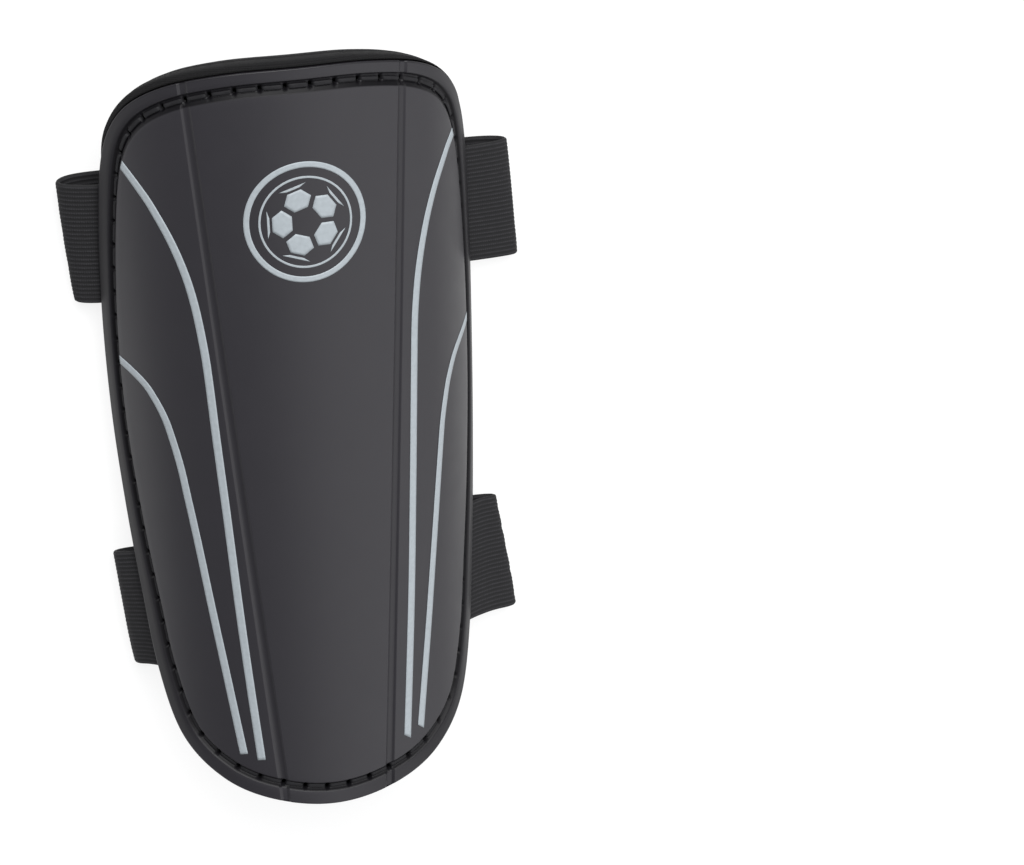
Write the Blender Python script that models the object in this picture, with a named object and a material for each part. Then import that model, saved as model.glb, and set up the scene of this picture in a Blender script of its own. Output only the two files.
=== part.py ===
"""Football shin guard, left as it lies on its back layer of straps.

A moulded plastic shell is stitched to a foam backing. Two elastic straps leave the slot between
shell and backing, fold round beside the guard and meet under it: the upper pair closes with hook
tape, the lower pair is sewn together. Lengths are in metres. The guard is shaped in its own frame,
whose origin is the crest of the shell, and stands on the floor through one empty.
"""
import math
from collections import namedtuple

import bpy
import numpy as np
from mathutils import Vector

# The backing's outline, measured round the curve
backing_length = 0.2197
backing_width_round = 0.1372

# The curve of the guard: a flat crown between two bend lines and tighter sides
crown_radius = 0.0690
side_radius = 0.0457
bend_from_crest_top = 0.0322
bend_from_crest_bottom = 0.0162

# The shell
shell_thickness = 0.0022
shell_inset_side = 0.0033
shell_inset_top = 0.0029
shell_inset_bottom = 0.0006
rim_width = 0.0029
rim_height = 0.00035
rim_rounding = 0.0004
groove_width = 0.0031
groove_depth = 0.0008
groove_wall = 0.0004
groove_slope = 0.0011
channel_inside_bend = 0.0011
channel_depth = 0.0005
channel_floor_width = 0.0014
channel_outer_wall = 0.0007
channel_inner_wall = 0.0008

# The backing
backing_thickness = 0.0055
edge_roll_drop = 0.0002
edge_roll_width = 0.0009
seam_inset = 0.0072
seam_depth = 0.0022
seam_half_width = 0.0016
seam_shoulder = 0.3
padding_crown = 0.0006
pocket_margin = 0.0030
pocket_ramp = 0.0040

# The straps
elastic_thickness = 0.0012
elastic_width = 0.0350
elastic_tuck = 0.0052
upper_strap_from_top = 0.0551
lower_strap_from_bottom = 0.0561
loop_reach = 0.0180
layer_slide = 0.0010
sink_run = 0.50
edge_above_floor = 0.0045
patch_length = 0.0700
patch_width = 0.0345
patch_thickness = 0.0008
patch_margin = 0.0020
hook_length = 0.0550
hook_width = 0.0280
hook_thickness = 0.0010
step_run = 0.0060
lower_lap_half = 0.0410

# Clearance kept between pieces that touch
gap = 0.0003

# Mesh density
crown_columns = 4
side_columns = 4
corner_share = 0.45
rows = 26
samples_per_span = 24
roll_steps = 3
tuck_steps = 3
strap_stations = 4
strap_span_steps = 3
sharp_degrees = 30.0

# The outline from the crest at the top end, down the side, to the crest at the bottom end, in
# shares of the half width and of the half length
OutlinePoint = namedtuple("OutlinePoint", "width_share length_share")
OUTLINE = (
    OutlinePoint(0.000, 1.000),
    OutlinePoint(0.292, 0.993),
    OutlinePoint(0.554, 0.957),
    OutlinePoint(0.751, 0.882),
    OutlinePoint(0.878, 0.758),
    OutlinePoint(0.947, 0.565),
    OutlinePoint(0.992, 0.300),
    OutlinePoint(0.990, 0.045),
    OutlinePoint(0.942, -0.200),
    OutlinePoint(0.877, -0.427),
    OutlinePoint(0.814, -0.628),
    OutlinePoint(0.702, -0.806),
    OutlinePoint(0.499, -0.918),
    OutlinePoint(0.252, -0.978),
    OutlinePoint(0.000, -1.000),
)

# The side view of a strap's loop, from where it leaves the rim, round the fold, to the floor, in
# shares of the fold's reach and of the height of the exit over the floor
LoopPoint = namedtuple("LoopPoint", "out high")
LOOP = (
    LoopPoint(0.00, 1.00),
    LoopPoint(0.07, 0.94),
    LoopPoint(0.30, 0.89),
    LoopPoint(0.62, 0.80),
    LoopPoint(0.87, 0.67),
    LoopPoint(0.98, 0.54),
    LoopPoint(1.00, 0.43),
    LoopPoint(0.97, 0.31),
    LoopPoint(0.86, 0.17),
    LoopPoint(0.66, 0.06),
    LoopPoint(0.40, 0.01),
    LoopPoint(0.10, 0.00),
)

# Each fold at the strap's upper and lower edge: its reach in shares of the loop reach, the share
# of the exit height that it sinks beside the guard, and the slide of its layer on the floor
Fold = namedtuple("Fold", "upper_reach lower_reach upper_sink lower_sink slide")
FOLDS = {
    "upper_left": Fold(0.76, 0.56, 0.00, 0.00, 1.0),
    "upper_right": Fold(0.91, 0.98, 0.00, 0.00, -0.6),
    "lower_left": Fold(0.48, 0.47, 0.05, 0.40, -3.0),
    "lower_right": Fold(0.62, 1.05, 0.45, 0.55, -1.0),
}

Finish = namedtuple("Finish", "red green blue roughness metallic")
FINISHES = {
    "shell": Finish(0.017, 0.016, 0.020, 0.46, 0.0),
    "foam_backing": Finish(0.012, 0.012, 0.014, 0.92, 0.0),
    "elastic": Finish(0.014, 0.014, 0.016, 0.88, 0.0),
    "patch": Finish(0.008, 0.008, 0.010, 0.85, 0.0),
    "hook": Finish(0.010, 0.010, 0.011, 0.75, 0.0),
}

half_length = backing_length / 2
half_width = backing_width_round / 2
shell_border = rim_width + groove_width
upper_strap_y = half_length - upper_strap_from_top
lower_strap_y = lower_strap_from_bottom - half_length
slot_level = shell_thickness + gap + elastic_thickness / 2
pocket_level = shell_thickness + elastic_thickness + 3 * gap
backing_front = shell_thickness + gap
backing_back = backing_front + backing_thickness


def clear_scene():
    for old in list(bpy.data.objects):
        bpy.data.objects.remove(old, do_unlink=True)


def material(name):
    finish = FINISHES[name]
    colour = (finish.red, finish.green, finish.blue, 1.0)
    made = bpy.data.materials.new(name)
    made.use_nodes = True
    shader = made.node_tree.nodes["Principled BSDF"]
    shader.inputs["Base Color"].default_value = colour
    shader.inputs["Roughness"].default_value = finish.roughness
    shader.inputs["Metallic"].default_value = finish.metallic
    made.diffuse_color = colour
    return made


def smooth_path(points, steps):
    """A Catmull-Rom curve through points, with a number of steps in each span."""
    points = np.asarray(points, float)
    before = 2 * points[0] - points[1]
    after = 2 * points[-1] - points[-2]
    padded = np.vstack([before, points, after])
    path = []
    for first, second, third, fourth in zip(padded, padded[1:], padded[2:], padded[3:]):
        for step in range(steps):
            t = step / steps
            path.append(0.5 * (2 * second
                               + (third - first) * t
                               + (2 * first - 5 * second + 4 * third - fourth) * t ** 2
                               + (3 * second - first - 3 * third + fourth) * t ** 3))
    path.append(points[-1])
    return np.array(path)


class Outline:
    """The right half of the backing's edge, and of the shell's inside it, as fine curves."""

    def __init__(self):
        sizes = np.array([half_width, half_length])
        table = np.array(OUTLINE) * sizes
        mirror = np.array([-1, 1])
        whole = np.vstack([table[1] * mirror, table, table[-2] * mirror])
        fine = smooth_path(whole, samples_per_span)[samples_per_span:-samples_per_span]
        run = np.diff(fine, axis=0)
        along = np.concatenate([[0], np.cumsum(np.hypot(run[:, 0], run[:, 1]))])
        tangent = np.gradient(fine, along, axis=0)
        tangent[[0, -1], 1] = 0
        tangent /= np.hypot(tangent[:, 0], tangent[:, 1])[:, None]
        self.share = along / along[-1]
        self.points = fine
        self.normals = np.column_stack([-tangent[:, 1], tangent[:, 0]])
        facing = self.normals[:, 1]
        end_inset = np.where(facing > 0, shell_inset_top, shell_inset_bottom)
        self.shell_inset = shell_inset_side + (end_inset - shell_inset_side) * facing ** 2

    def inset(self, distance, shell=False):
        """Every fine point of the backing's edge, or of the shell's, moved inwards."""
        distances = distance + shell * self.shell_inset
        return self.points - distances[:, None] * self.normals

    def at(self, shares, distance, shell=False):
        """Points of the inset edge at the given shares of its length."""
        curve = self.inset(distance, shell)
        return np.column_stack([np.interp(shares, self.share, curve[:, 0]),
                                np.interp(shares, self.share, curve[:, 1])])

    def share_at_line(self, line, distance, shell, top):
        """The share of the length where the inset edge crosses a lengthwise line."""
        curve = self.inset(distance, shell)
        beyond = curve[:, 0] - line(curve[:, 1])
        middle = len(beyond) // 2
        part = slice(0, middle) if top else slice(middle, None)
        order = 1 if top else -1
        return float(np.interp(0.0, beyond[part][::order], self.share[part][::order]))

    def shell_half_width(self, y):
        """Distance round the curve from the crest to the shell's edge at a height y."""
        curve = self.inset(0.0, True)
        return float(np.interp(y, curve[::-1, 1], curve[::-1, 0]))


def bend_line(offset=0.0):
    """The distance of a bend line from the crest as a function of y, moved outwards by offset."""
    spread = bend_from_crest_top - bend_from_crest_bottom

    def distance(y):
        share = (y + half_length) / backing_length
        return bend_from_crest_bottom + spread * share + offset
    return distance


def bent(round_distance, y, level):
    """A point of the curved guard: distance round it from the crest, y, and height over it."""
    side = np.sign(round_distance)
    reach = np.abs(round_distance)
    bend = bend_line()(y)
    crown = np.minimum(reach, bend) / crown_radius
    turn = crown + np.maximum(reach - bend, 0) / side_radius
    x = crown_radius * np.sin(crown) + side_radius * (np.sin(turn) - np.sin(crown))
    z = crown_radius * (np.cos(crown) - 1) + side_radius * (np.cos(turn) - np.cos(crown))
    return np.stack([side * (x + level * np.sin(turn)), y + 0 * x, z + level * np.cos(turn)], axis=-1)


class Plate:
    """A curved plate: a grid of rows and columns inside rings that follow its outline."""

    def __init__(self, outline, grid_inset, shell, lines):
        self.outline = outline
        self.shell = shell
        crossings_top = [outline.share_at_line(line, grid_inset, shell, True) for line in lines]
        crossings_bottom = [outline.share_at_line(line, grid_inset, shell, False) for line in lines]
        top_corner_line = bend_line(corner_share * (half_width - bend_from_crest_top))
        bottom_corner_line = bend_line(corner_share * (half_width - bend_from_crest_bottom))
        corner_top = outline.share_at_line(top_corner_line, grid_inset, shell, True)
        corner_bottom = outline.share_at_line(bottom_corner_line, grid_inset, shell, False)
        top = self.spread([0.0] + crossings_top + [corner_top])
        bottom = self.spread([1.0] + crossings_bottom + [corner_bottom])
        side = list(np.linspace(corner_top, corner_bottom, rows + 1))
        right = top + side[1:] + bottom[::-1][1:]
        self.shares = np.array(right + right[::-1][1:-1])
        self.sides = np.array([1] * len(right) + [-1] * (len(right) - 2))
        self.half_columns = len(top) - 1
        shift = self.half_columns
        self.shares = np.roll(self.shares, shift)
        self.sides = np.roll(self.sides, shift)
        self.line_columns = [crown_columns + index for index in range(len(lines))]
        self.grid = self.fill(self.ring(grid_inset))

    def spread(self, stops):
        """Shares for the half row of columns, from the crest to the corner."""
        shares = list(np.linspace(stops[0], stops[1], crown_columns + 1))
        shares += stops[2:-1]
        shares += list(np.linspace(stops[-2], stops[-1], side_columns + 1))[1:]
        return shares

    def ring(self, distance):
        """The closed ring of outline points at an inset, clockwise from the top left corner."""
        points = self.outline.at(self.shares, distance, self.shell)
        points[:, 0] *= self.sides
        return points

    def fill(self, ring):
        """Grid points inside a ring: straight columns between the channels, blended ones outside."""
        columns = 2 * self.half_columns
        top = ring[:columns + 1]
        right = ring[columns:columns + rows + 1]
        bottom = ring[columns + rows:2 * columns + rows + 1][::-1]
        left = np.vstack([ring[:1], ring[2 * columns + rows:][::-1]])
        down = np.linspace(0, 1, rows + 1)[:, None, None]
        grid = (1 - down) * top[None] + down * bottom[None]
        outermost = max(self.line_columns)
        for side, edge in ((range(0, self.half_columns - outermost + 1), left),
                           (range(columns, self.half_columns + outermost - 1, -1), right)):
            side = list(side)
            inner = grid[:, side[-1]].copy()
            ruled = grid[:, side].copy()
            across = np.linspace(0, 1, len(side))[None, :, None]
            blend = (1 - across) * edge[:, None] + across * inner[:, None]
            corners = ((1 - down) * ((1 - across) * edge[0] + across * inner[0])
                       + down * ((1 - across) * edge[-1] + across * inner[-1]))
            grid[:, side] = blend + ruled - corners
        return grid

    def sunken(self):
        """True for each grid column and ring point that lies on the floor of a channel."""
        marks = np.zeros(2 * self.half_columns + 1, bool)
        for column in self.line_columns[1:-1]:
            marks[self.half_columns + column] = True
            marks[self.half_columns - column] = True
        ring = np.zeros(len(self.shares), bool)
        ring[:len(marks)] = marks
        start = 2 * self.half_columns + rows
        ring[start:start + len(marks)] = marks[:len(ring) - start]
        return marks, ring

    def solid(self, name, front_level, rings, back_level):
        """Join the front grid, the rings from front to back and the back grid into one object."""
        grid_points = [(bent(self.grid[..., 0], self.grid[..., 1], front_level)),
                       (bent(self.grid[..., 0], self.grid[..., 1], back_level))]
        size = (rows + 1) * (2 * self.half_columns + 1)
        vertices = np.vstack([grid_points[0].reshape(-1, 3), grid_points[1].reshape(-1, 3)]
                             + [bent(points[:, 0], points[:, 1], level) for points, level in rings])
        columns = 2 * self.half_columns + 1
        index = np.arange(size).reshape(rows + 1, columns)
        border = np.concatenate([index[0], index[1:, -1], index[-1, ::-1][1:], index[::-1, 0][1:-1]])
        faces = []
        for row in range(rows):
            for column in range(columns - 1):
                quad = (index[row, column], index[row, column + 1],
                        index[row + 1, column + 1], index[row + 1, column])
                faces.append(quad)
                faces.append(tuple(corner + size for corner in reversed(quad)))
        count = len(border)
        loops = [border] + [2 * size + number * count + np.arange(count) for number in range(len(rings))]
        loops.append(border + size)
        for inner, outer in zip(loops, loops[1:]):
            for step in range(count):
                after = (step + 1) % count
                faces.append((inner[step], outer[step], outer[after], inner[after]))
        return make_object(name, vertices, faces)


def make_object(name, vertices, faces):
    mesh = bpy.data.meshes.new(name)
    mesh.from_pydata([tuple(map(float, vertex)) for vertex in vertices], [],
                     [tuple(map(int, face)) for face in faces])
    mesh.validate()
    mesh.update()
    mesh.shade_smooth()
    mesh.set_sharp_from_angle(angle=math.radians(sharp_degrees))
    made = bpy.data.objects.new(name, mesh)
    bpy.context.collection.objects.link(made)
    return made


def make_shell(outline):
    inner = -channel_inside_bend - channel_floor_width / 2
    outer = -channel_inside_bend + channel_floor_width / 2
    lines = [bend_line(offset) for offset in (inner - channel_inner_wall, inner,
                                              outer, outer + channel_outer_wall)]
    plate = Plate(outline, shell_border, True, lines)
    column_marks, ring_marks = plate.sunken()
    front = np.where(column_marks, -channel_depth, 0.0)[None, :] * np.ones((rows + 1, 1))

    def ring(inset, level, crossed=False):
        levels = np.full(len(ring_marks), level)
        if crossed:
            levels[ring_marks] -= channel_depth
        return plate.ring(inset), levels

    rings = [
        ring(shell_border - groove_slope, -groove_depth),
        ring(rim_width, -groove_depth),
        ring(rim_width - groove_wall, rim_height, True),
        ring(rim_rounding, rim_height, True),
        ring(0.0, rim_height - rim_rounding),
        ring(0.0, rim_rounding - shell_thickness),
        ring(rim_rounding, -shell_thickness),
    ]
    return plate.solid("shell", front, rings, -shell_thickness)


def strap_pocket(y, level):
    """The front of the backing, lowered to the pocket level where a strap passes."""
    deep = np.zeros_like(level)
    for middle in (upper_strap_y, lower_strap_y):
        outside = np.abs(y - middle) - elastic_width / 2 - pocket_margin
        deep = np.maximum(deep, np.clip(1 - outside / pocket_ramp, 0, 1))
    return level * (1 - deep) + np.minimum(level, -pocket_level) * deep


def make_backing(outline):
    under_rim = shell_inset_side + elastic_tuck + 4 * gap
    grid_inset = under_rim + seam_half_width
    plate = Plate(outline, grid_inset, False, [bend_line()])
    rim_ring = outline.at(plate.shares, -gap, True)
    rim_ring[:, 0] *= plate.sides
    edge_ring = plate.ring(0.0)

    def front_ring(points, depth):
        return points, strap_pocket(points[:, 1], -depth - np.zeros(len(points)))

    def edge_roll(share):
        """The rounded front of the edge, a share of the way from the shell's edge outwards."""
        points = (1 - share) * rim_ring + share * edge_ring
        return front_ring(points, edge_roll_drop + edge_roll_width * (1 - math.sin(math.pi * share)))

    def back_ring(inset, depth):
        return plate.ring(inset), np.full(len(plate.shares), -depth)

    rings = [front_ring(plate.ring(under_rim), backing_front),
             front_ring(plate.ring(shell_inset_side + rim_width), backing_front),
             front_ring(rim_ring, backing_front)]
    rings += [edge_roll((step + 1) / roll_steps) for step in range(roll_steps)]
    rings += [
        back_ring(0.0, backing_back - 2 * edge_roll_width),
        back_ring(edge_roll_width, backing_back - edge_roll_width / 2),
        back_ring(seam_inset / 2, backing_back),
        back_ring(seam_inset - seam_half_width, backing_back - seam_shoulder * seam_depth),
        back_ring(seam_inset, backing_back - seam_depth),
        back_ring(seam_inset + seam_half_width, backing_back - seam_shoulder * seam_depth),
    ]
    grid = plate.grid
    across = np.clip(1 - (np.abs(grid[..., 0]) / half_width) ** 2, 0, 1)
    along = np.clip(1 - (grid[..., 1] / half_length) ** 2, 0, 1)
    back = -backing_back - padding_crown * np.sqrt(across * along)
    return plate.solid("foam_backing", -backing_front, rings, back)


def edge_depth(outline):
    """How far the lowest edge of the backing lies under the crest of the shell."""
    curve = outline.inset(edge_roll_width)
    return -float(bent(curve[:, 0], curve[:, 1], -backing_back)[:, 2].min())


class StrapPath:
    """The middle line of one strap's layer at a height y, from its slot to its end underneath."""

    def __init__(self, outline, side, fold, middle, floor, steps_under):
        self.outline = outline
        self.side = side
        self.fold = fold
        self.middle = middle
        self.floor = floor
        self.steps_under = steps_under

    def at(self, share):
        """The path for a share of the strap's width, from its upper to its lower edge."""
        y = self.middle + elastic_width * (0.5 - share)
        rim = self.outline.shell_half_width(y)
        tucked = bent(np.linspace(rim - elastic_tuck, rim, tuck_steps + 1), y, -slot_level)
        leave = tucked[-1]
        fold = self.fold
        reach = loop_reach * (fold.upper_reach + (fold.lower_reach - fold.upper_reach) * share)
        sink = fold.upper_sink + (fold.lower_sink - fold.upper_sink) * share
        lowest = self.floor + elastic_thickness / 2
        loop = []
        for point in LOOP:
            high = point.high * (1 - sink * min(point.out / sink_run, 1))
            loop.append((leave[0] + point.out * reach,
                         y + layer_slide * fold.slide * (1 - point.high),
                         lowest + high * (leave[2] - lowest)))
        loop = smooth_path(loop, strap_span_steps)
        under = [(x, loop[-1][1], lowest + level) for x, level in self.steps_under]
        path = np.vstack([tucked[:-1], loop, under])
        path[:, 0] *= self.side
        return path


def sheet_solid(name, lines, thickness):
    """A sheet of even thickness between lines, which run side by side with equal counts."""
    lines = np.array(lines)
    run = np.gradient(lines, axis=1)
    normal = np.stack([-run[..., 2], 0 * run[..., 1], run[..., 0]], axis=-1)
    normal /= np.linalg.norm(normal, axis=-1, keepdims=True)
    sheets = np.stack([lines + normal * thickness / 2, lines - normal * thickness / 2])
    _, across, along, _ = sheets.shape
    index = np.arange(2 * across * along).reshape(2, across, along)
    faces = []
    for row in range(across - 1):
        for step in range(along - 1):
            near, far = index[0], index[1]
            faces.append((near[row, step], near[row + 1, step],
                          near[row + 1, step + 1], near[row, step + 1]))
            faces.append((far[row, step], far[row, step + 1],
                          far[row + 1, step + 1], far[row + 1, step]))
    border = ([(0, step) for step in range(along)]
              + [(row, along - 1) for row in range(1, across)]
              + [(across - 1, step) for step in range(along - 2, -1, -1)]
              + [(row, 0) for row in range(across - 2, 0, -1)])
    for (row, step), (next_row, next_step) in zip(border, border[1:] + border[:1]):
        faces.append((index[0, row, step], index[0, next_row, next_step],
                      index[1, next_row, next_step], index[1, row, step]))
    return make_object(name, sheets.reshape(-1, 3), faces)


def make_strap(name, path):
    shares = np.linspace(0, 1, strap_stations)
    return sheet_solid(name, [path.at(share) for share in shares], elastic_thickness)


def make_flat(name, length, width, middle_y, lower, thickness):
    """A flat strip whose lower face lies at a height, with its length across the guard."""
    xs = np.linspace(-length / 2, length / 2, 3)
    lines = [[(x, middle_y + width * (0.5 - share), lower + thickness / 2) for x in xs]
             for share in (0.0, 1.0)]
    return sheet_solid(name, lines, thickness)


def normals_out(made):
    """Turn the faces outwards if the mesh encloses a negative volume."""
    mesh = made.data
    volume = 0.0
    for face in mesh.polygons:
        corners = [mesh.vertices[number].co for number in face.vertices]
        for second, third in zip(corners[1:], corners[2:]):
            volume += corners[0].dot(second.cross(third))
    if volume < 0:
        mesh.flip_normals()


def finish(made, frame, look):
    normals_out(made)
    made.data.materials.append(look)
    made.parent = frame


def build():
    clear_scene()
    outline = Outline()
    crest_height = edge_depth(outline) + edge_above_floor
    floor = -crest_height

    outer_lift = patch_thickness + gap
    hook_lift = outer_lift + elastic_thickness + gap
    inner_lift = hook_lift + hook_thickness + gap
    patch_half = patch_length / 2
    upper_outer_steps = (
        (patch_half + step_run, 0.0),
        (patch_half + patch_margin / 2, outer_lift),
        (0.0, outer_lift),
        (patch_margin - patch_half, outer_lift),
    )
    upper_inner_steps = (
        (patch_half + patch_margin + step_run, 0.0),
        (patch_half, inner_lift),
        (0.0, inner_lift),
        (-hook_length / 2, inner_lift),
    )
    lower_outer_steps = (
        (lower_lap_half / 2, 0.0),
        (0.0, 0.0),
        (-lower_lap_half, 0.0),
    )
    lap_lift = elastic_thickness + gap
    lower_inner_steps = (
        (lower_lap_half + gap, lap_lift),
        (0.0, lap_lift),
        (-lower_lap_half, lap_lift),
    )
    left, right = -1, 1
    straps = {
        "upper_strap_outer": StrapPath(outline, left, FOLDS["upper_left"], upper_strap_y, floor,
                                       upper_outer_steps),
        "upper_strap_inner": StrapPath(outline, right, FOLDS["upper_right"], upper_strap_y, floor,
                                       upper_inner_steps),
        "lower_strap_outer": StrapPath(outline, left, FOLDS["lower_left"], lower_strap_y, floor,
                                       lower_outer_steps),
        "lower_strap_inner": StrapPath(outline, right, FOLDS["lower_right"], lower_strap_y, floor,
                                       lower_inner_steps),
    }
    patch_y = upper_strap_y + layer_slide * FOLDS["upper_left"].slide

    elastic = material("elastic")
    made = [(make_shell(outline), material("shell")),
            (make_backing(outline), material("foam_backing"))]
    made += [(make_strap(name, path), elastic) for name, path in straps.items()]
    made.append((make_flat("closure_patch", patch_length, patch_width, patch_y,
                           floor, patch_thickness), material("patch")))
    made.append((make_flat("hook_tape", hook_length, hook_width, patch_y,
                           floor + hook_lift, hook_thickness), material("hook")))

    widths = [vertex.co.x for item, _ in made for vertex in item.data.vertices]
    frame = bpy.data.objects.new("guard_frame", None)
    frame.location = Vector((-(min(widths) + max(widths)) / 2, 0.0, crest_height))
    bpy.context.collection.objects.link(frame)
    for item, look in made:
        finish(item, frame, look)


build()
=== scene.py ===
"""The looks of the football shin guard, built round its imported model.

The shell, its backing, the straps and the patch are modelled here with the stitching, print, seams
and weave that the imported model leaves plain. Lengths are in metres. Everything is shaped in the
guard's own frame, whose origin is the crest of the shell, and then placed at `crest`.
"""

import math
from collections import namedtuple

import bmesh
import bpy
import numpy as np
from mathutils import Matrix, Vector


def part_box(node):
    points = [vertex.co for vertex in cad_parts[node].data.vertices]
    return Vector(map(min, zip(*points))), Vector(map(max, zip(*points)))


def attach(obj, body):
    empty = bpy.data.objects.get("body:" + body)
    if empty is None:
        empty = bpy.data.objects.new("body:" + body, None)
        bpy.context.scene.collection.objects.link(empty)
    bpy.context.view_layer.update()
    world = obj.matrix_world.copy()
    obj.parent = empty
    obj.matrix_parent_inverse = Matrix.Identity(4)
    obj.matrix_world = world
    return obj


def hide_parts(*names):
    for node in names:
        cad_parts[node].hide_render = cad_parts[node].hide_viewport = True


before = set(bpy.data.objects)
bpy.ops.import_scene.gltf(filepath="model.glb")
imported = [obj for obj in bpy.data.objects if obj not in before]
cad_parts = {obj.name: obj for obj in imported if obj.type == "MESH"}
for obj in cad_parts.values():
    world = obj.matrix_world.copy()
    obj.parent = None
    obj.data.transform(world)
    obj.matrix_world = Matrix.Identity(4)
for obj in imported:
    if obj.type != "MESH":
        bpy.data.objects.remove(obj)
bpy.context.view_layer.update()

# The backing's outline, measured round the curve
backing_length = 0.2197
backing_width_round = 0.1372

# The curve of the guard: a flat crown between two bend lines and tighter sides
crown_radius = 0.0690
side_radius = 0.0457
bend_from_crest_top = 0.0322
bend_from_crest_bottom = 0.0162

# The shell
shell_thickness = 0.0022
shell_inset_side = 0.0018
shell_inset_top = 0.0023
shell_inset_bottom = 0.0006
rim_width = 0.0035
rim_extra = 0.0012
rim_reach_side = 0.0009
facing_to_top = 1.6
rim_height = 0.00035
rim_rounding = 0.0004
groove_width = 0.0031
groove_depth = 0.0008
groove_wall = 0.0004
groove_slope = 0.0011
groove_foot = 0.00012
panel_rounding = 0.0004
channel_inside_bend = 0.0011
channel_depth = 0.0005
channel_floor_width = 0.0014
channel_outer_wall = 0.0007
channel_inner_wall = 0.0008
channel_edge = 0.00015

# The stitches in the shell's groove
stitch_from_rim = 0.00125
stitch_pitch = 0.0070
stitch_half_width = 0.00055
stitch_half_height = 0.00028
stitch_clear = 0.00045
stitch_dip = 0.0012
stitch_sink = 0.00030
stitch_unevenness = 0.10
stitch_uneven_turn = 5.3
stitch_narrowing = 0.25
stitch_narrowing_power = 8
stitch_dip_power = 12
stitch_squareness = 0.6
stitch_twists = 3.0
twist_relief = 0.06
hole_half_length = 0.00085
hole_half_width = 0.00125
hole_depth = 0.0010
# How much darker the channels are painted: painted shade in the recess
channel_shade = 0.12
stitch_shares = np.linspace(0, 1, 19)
stitch_turns = np.linspace(-math.pi / 2, 1.5 * math.pi, 16, endpoint=False)

# The backing
backing_thickness = 0.0055
edge_roll_drop = 0.0002
side_edge_drop = 0.0019
edge_roll_width = 0.0009
crevice_depth = 0.0002
crevice_share = 0.2
roll_start = 0.7
top_skew = 0.0020
top_narrowing = 0.035
skew_start = 0.0840
wrap_start = 0.0722
wrap_run = 0.0180
border_swell_share = 0.55
seam_inset = 0.0072
seam_depth = 0.0022
seam_half_width = 0.0016
seam_pitch = 0.0042
seam_dimple = 0.0005
padding_crown = 0.0006
pocket_margin = 0.0004
pocket_ramp = 0.0030
cover_seam_drop = 0.0021
cover_seam_relief = 0.00025

# The back panel's cloth
panel_pressure = 4.0
panel_frames = 20
panel_cap = 0.0010
panel_slack = -0.015

# The straps
elastic_thickness = 0.0012
elastic_width = 0.0350
elastic_tuck = 0.0052
upper_strap_from_top = 0.0551
lower_strap_from_bottom = 0.0561
loop_reach = 0.0180
layer_slide = 0.0010
sink_run = 0.50
patch_length = 0.0700
patch_width = 0.0345
patch_thickness = 0.0008
patch_margin = 0.0020
patch_seam_inset = 0.0018
patch_seam_half_width = 0.0004
patch_seam_depth = 0.00012
lozenge_pitch = 0.0080
hook_length = 0.0550
hook_width = 0.0280
hook_thickness = 0.0010
hook_pitch = 0.0016
hook_relief = 0.00012
step_run = 0.0060
lower_lap_half = 0.0410
cord_pitch = 0.00125
cord_relief = 0.00010
cord_middle = 0.6
edge_share = 0.35
elastic_pick = 0.00062
selvage = 0.0011
strap_rounding = 0.0030

# Clearance kept between pieces that touch
gap = 0.0003

# The print on the shell
print_lift = 0.00009
print_thickness = 0.00006
stripe_width = 0.0023
stripe_cut_margin = 0.0002
roundel_middle_y = 0.0653
roundel_radius = 0.0168
roundel_line = 0.0016
ball_radius = 0.0116
ball_line = 0.0006
ball_seam_share = 0.17
ball_lowest = -0.02
right_end_slant = 0.6

# The floor and the sky
floor_size = 6.0
floor_colour = (0.18, 0.18, 0.18)
floor_glow = 0.84
sky_colour = (0.96, 0.98, 1.0, 1.0)
sky_strength = 0.30

# The photograph's camera: its place from the crest and two directions of its frame
camera_place = (-0.14904, 0.32851, 0.80017)
camera_forward = (0.2289, -0.3720, -0.8996)
camera_up = (0.1242, 0.9277, -0.3520)
camera_lens = 112.5
camera_sensor = 36.0

half_length = backing_length / 2
half_width = backing_width_round / 2
shell_border = rim_width + groove_width
stitch_inset = rim_width + stitch_from_rim
upper_strap_y = half_length - upper_strap_from_top
lower_strap_y = lower_strap_from_bottom - half_length
slot_level = shell_thickness + gap + elastic_thickness / 2
pocket_level = shell_thickness + elastic_thickness + 3 * gap
backing_front = shell_thickness + gap
backing_back = backing_front + backing_thickness
channel_floor_from = -channel_inside_bend - channel_floor_width / 2
channel_floor_to = -channel_inside_bend + channel_floor_width / 2

shell_low, shell_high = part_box("shell")
crest = Vector(((shell_low.x + shell_high.x) / 2, 0.0, shell_high.z - rim_height))


def rows_of(row, *rows):
    """A short table, each of whose rows has named columns."""
    return [row(*values) for values in rows]


# The outline from the crest at the top end, down the side, to the crest at the bottom end, in
# shares of the half width and of the half length
OutlinePoint = namedtuple("OutlinePoint", "width_share length_share")
OUTLINE = rows_of(
    OutlinePoint,
    (0.000, 1.000), (0.292, 0.993), (0.554, 0.957), (0.751, 0.882),
    (0.878, 0.758), (0.947, 0.565), (0.992, 0.300), (0.990, 0.045),
    (0.942, -0.200), (0.877, -0.427), (0.814, -0.628), (0.702, -0.806),
    (0.499, -0.918), (0.252, -0.978), (0.000, -1.000),
)

# The side view of a strap's loop, from where it leaves the rim, round the fold, to the floor, in
# shares of the fold's reach and of the height of the exit over the floor
LoopPoint = namedtuple("LoopPoint", "out high")
LOOP = rows_of(
    LoopPoint,
    (0.00, 1.00), (0.07, 0.94), (0.30, 0.89), (0.62, 0.80), (0.87, 0.67), (0.98, 0.54),
    (1.00, 0.43), (0.97, 0.31), (0.86, 0.17), (0.66, 0.06), (0.40, 0.01), (0.10, 0.00),
)

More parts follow.
